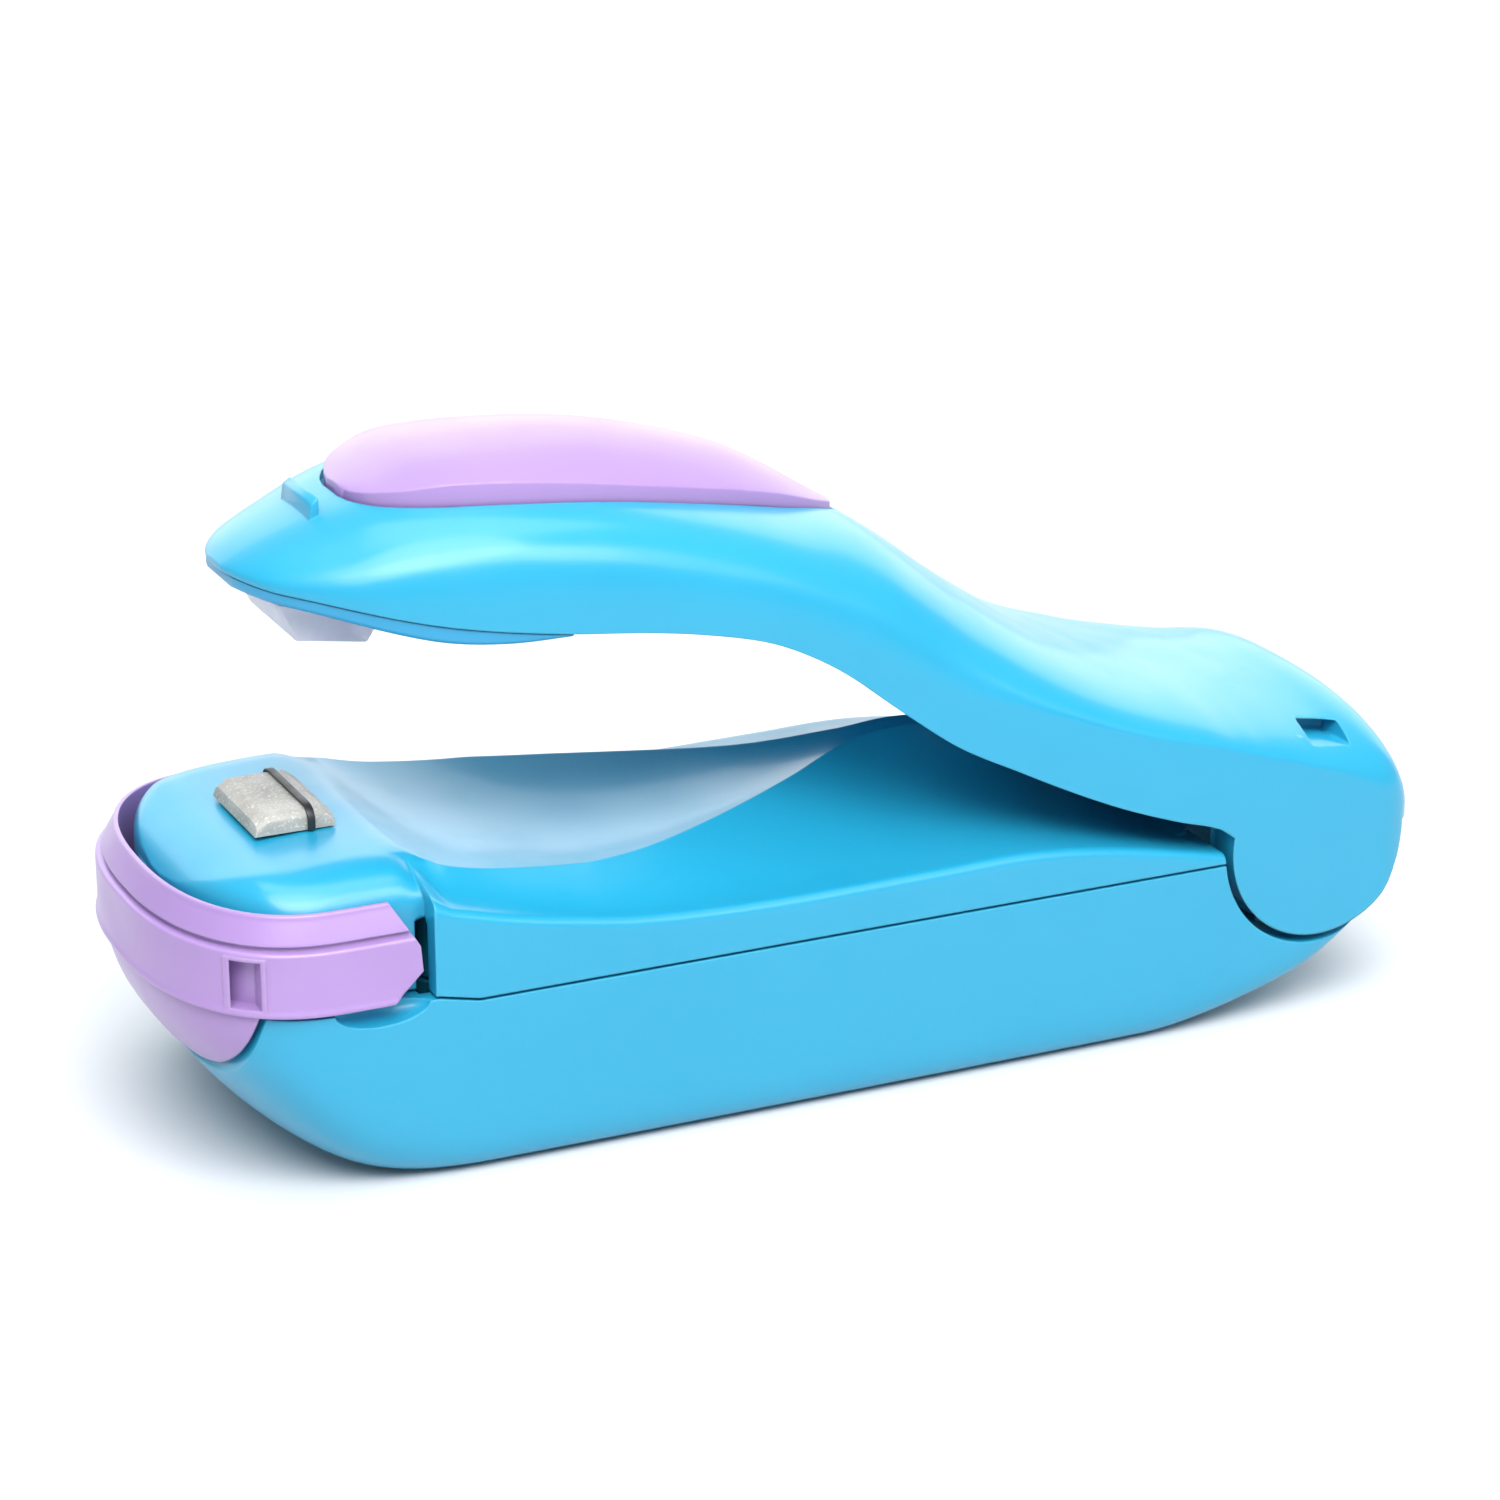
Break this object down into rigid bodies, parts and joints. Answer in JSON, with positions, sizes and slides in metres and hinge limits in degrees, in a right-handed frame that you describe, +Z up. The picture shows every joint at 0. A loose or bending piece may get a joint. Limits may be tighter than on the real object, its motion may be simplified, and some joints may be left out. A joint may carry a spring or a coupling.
{
  "type": "handheld bag heat sealer",
  "caption": "Hand-held heat sealer for plastic bags: a sprung arm presses a silicone pad onto a hot wire in the nose of a battery base, with a safety lock ring.",
  "frame": {"origin": "on the surface it stands on, midway along its length and across its width", "axes": "+X along the tool from the jaws to the hinge, +Y across it, +Z up"},
  "size_m": [0.13, 0.0446, 0.0653],
  "materials": {
    "sky_plastic": "smooth moulded, satin gloss",
    "deep_sky_plastic": "smooth moulded, satin gloss",
    "lilac_plastic": "smooth moulded, satin",
    "press_silicone": "milky translucent silicone",
    "heater_grey": "matt",
    "heating_strip": "heat-darkened nichrome",
    "cell_jacket": "plain printed jacket",
    "nickel_plate": "nickel plated",
    "steel": "zinc plated",
    "brass_leaf": "bright",
    "lead_red": "pvc insulation",
    "lead_white": "pvc insulation",
    "lead_black": "pvc insulation"
  },
  "bodies": {
    "base": {"lower_shell": "sky_plastic", "upper_shell": "sky_plastic", "heater_block": "heater_grey", "heating_wire": "heating_strip", "cell_left": "cell_jacket", "cell_right": "cell_jacket", "front_contact_bridge": "nickel_plate", "rear_plus_contact": "nickel_plate", "front_minus_spring": "nickel_plate", "rear_minus_contact": "nickel_plate", "rear_minus_spring": "nickel_plate", "hinge_axle": "steel", "return_spring": "steel", "case_screw_front_left": "steel", "case_screw_front_right": "steel", "case_screw_rear_left": "steel", "case_screw_rear_right": "steel", "switch_contact_left": "brass_leaf", "switch_contact_right": "brass_leaf", "lead_plus": "lead_red", "lead_switch": "lead_white", "lead_minus": "lead_black"},
    "battery_door": {"battery_door": "deep_sky_plastic"},
    "lock_ring": {"lock_ring": "lilac_plastic"},
    "arm": {"arm_shell": "sky_plastic", "thumb_pad": "lilac_plastic", "arm_under_plate": "deep_sky_plastic", "press_pad": "press_silicone", "plate_screw_rear": "steel", "switch_bridge": "brass_leaf"}
  },
  "joints": [
    {"name": "arm_pivot", "type": "hinge", "parent": "base", "child": "arm", "pos_m": [0.053, 0, 0.0188], "axis": [0, -1, 0], "range_deg": [0, 8.6], "stiffness_Nm_per_rad": 1, "springref_deg": -17.19, "deforming": ["return_spring"]},
    {"name": "lock_ring_pivot", "type": "hinge", "parent": "base", "child": "lock_ring", "pos_m": [-0.0456, 0, 0.021], "axis": [0, 1, 0], "range_deg": [0, 20]},
    {"name": "battery_door_slide", "type": "slide", "parent": "base", "child": "battery_door", "axis": [1, 0, 0], "range_m": [0, 0.06]}
  ]
}
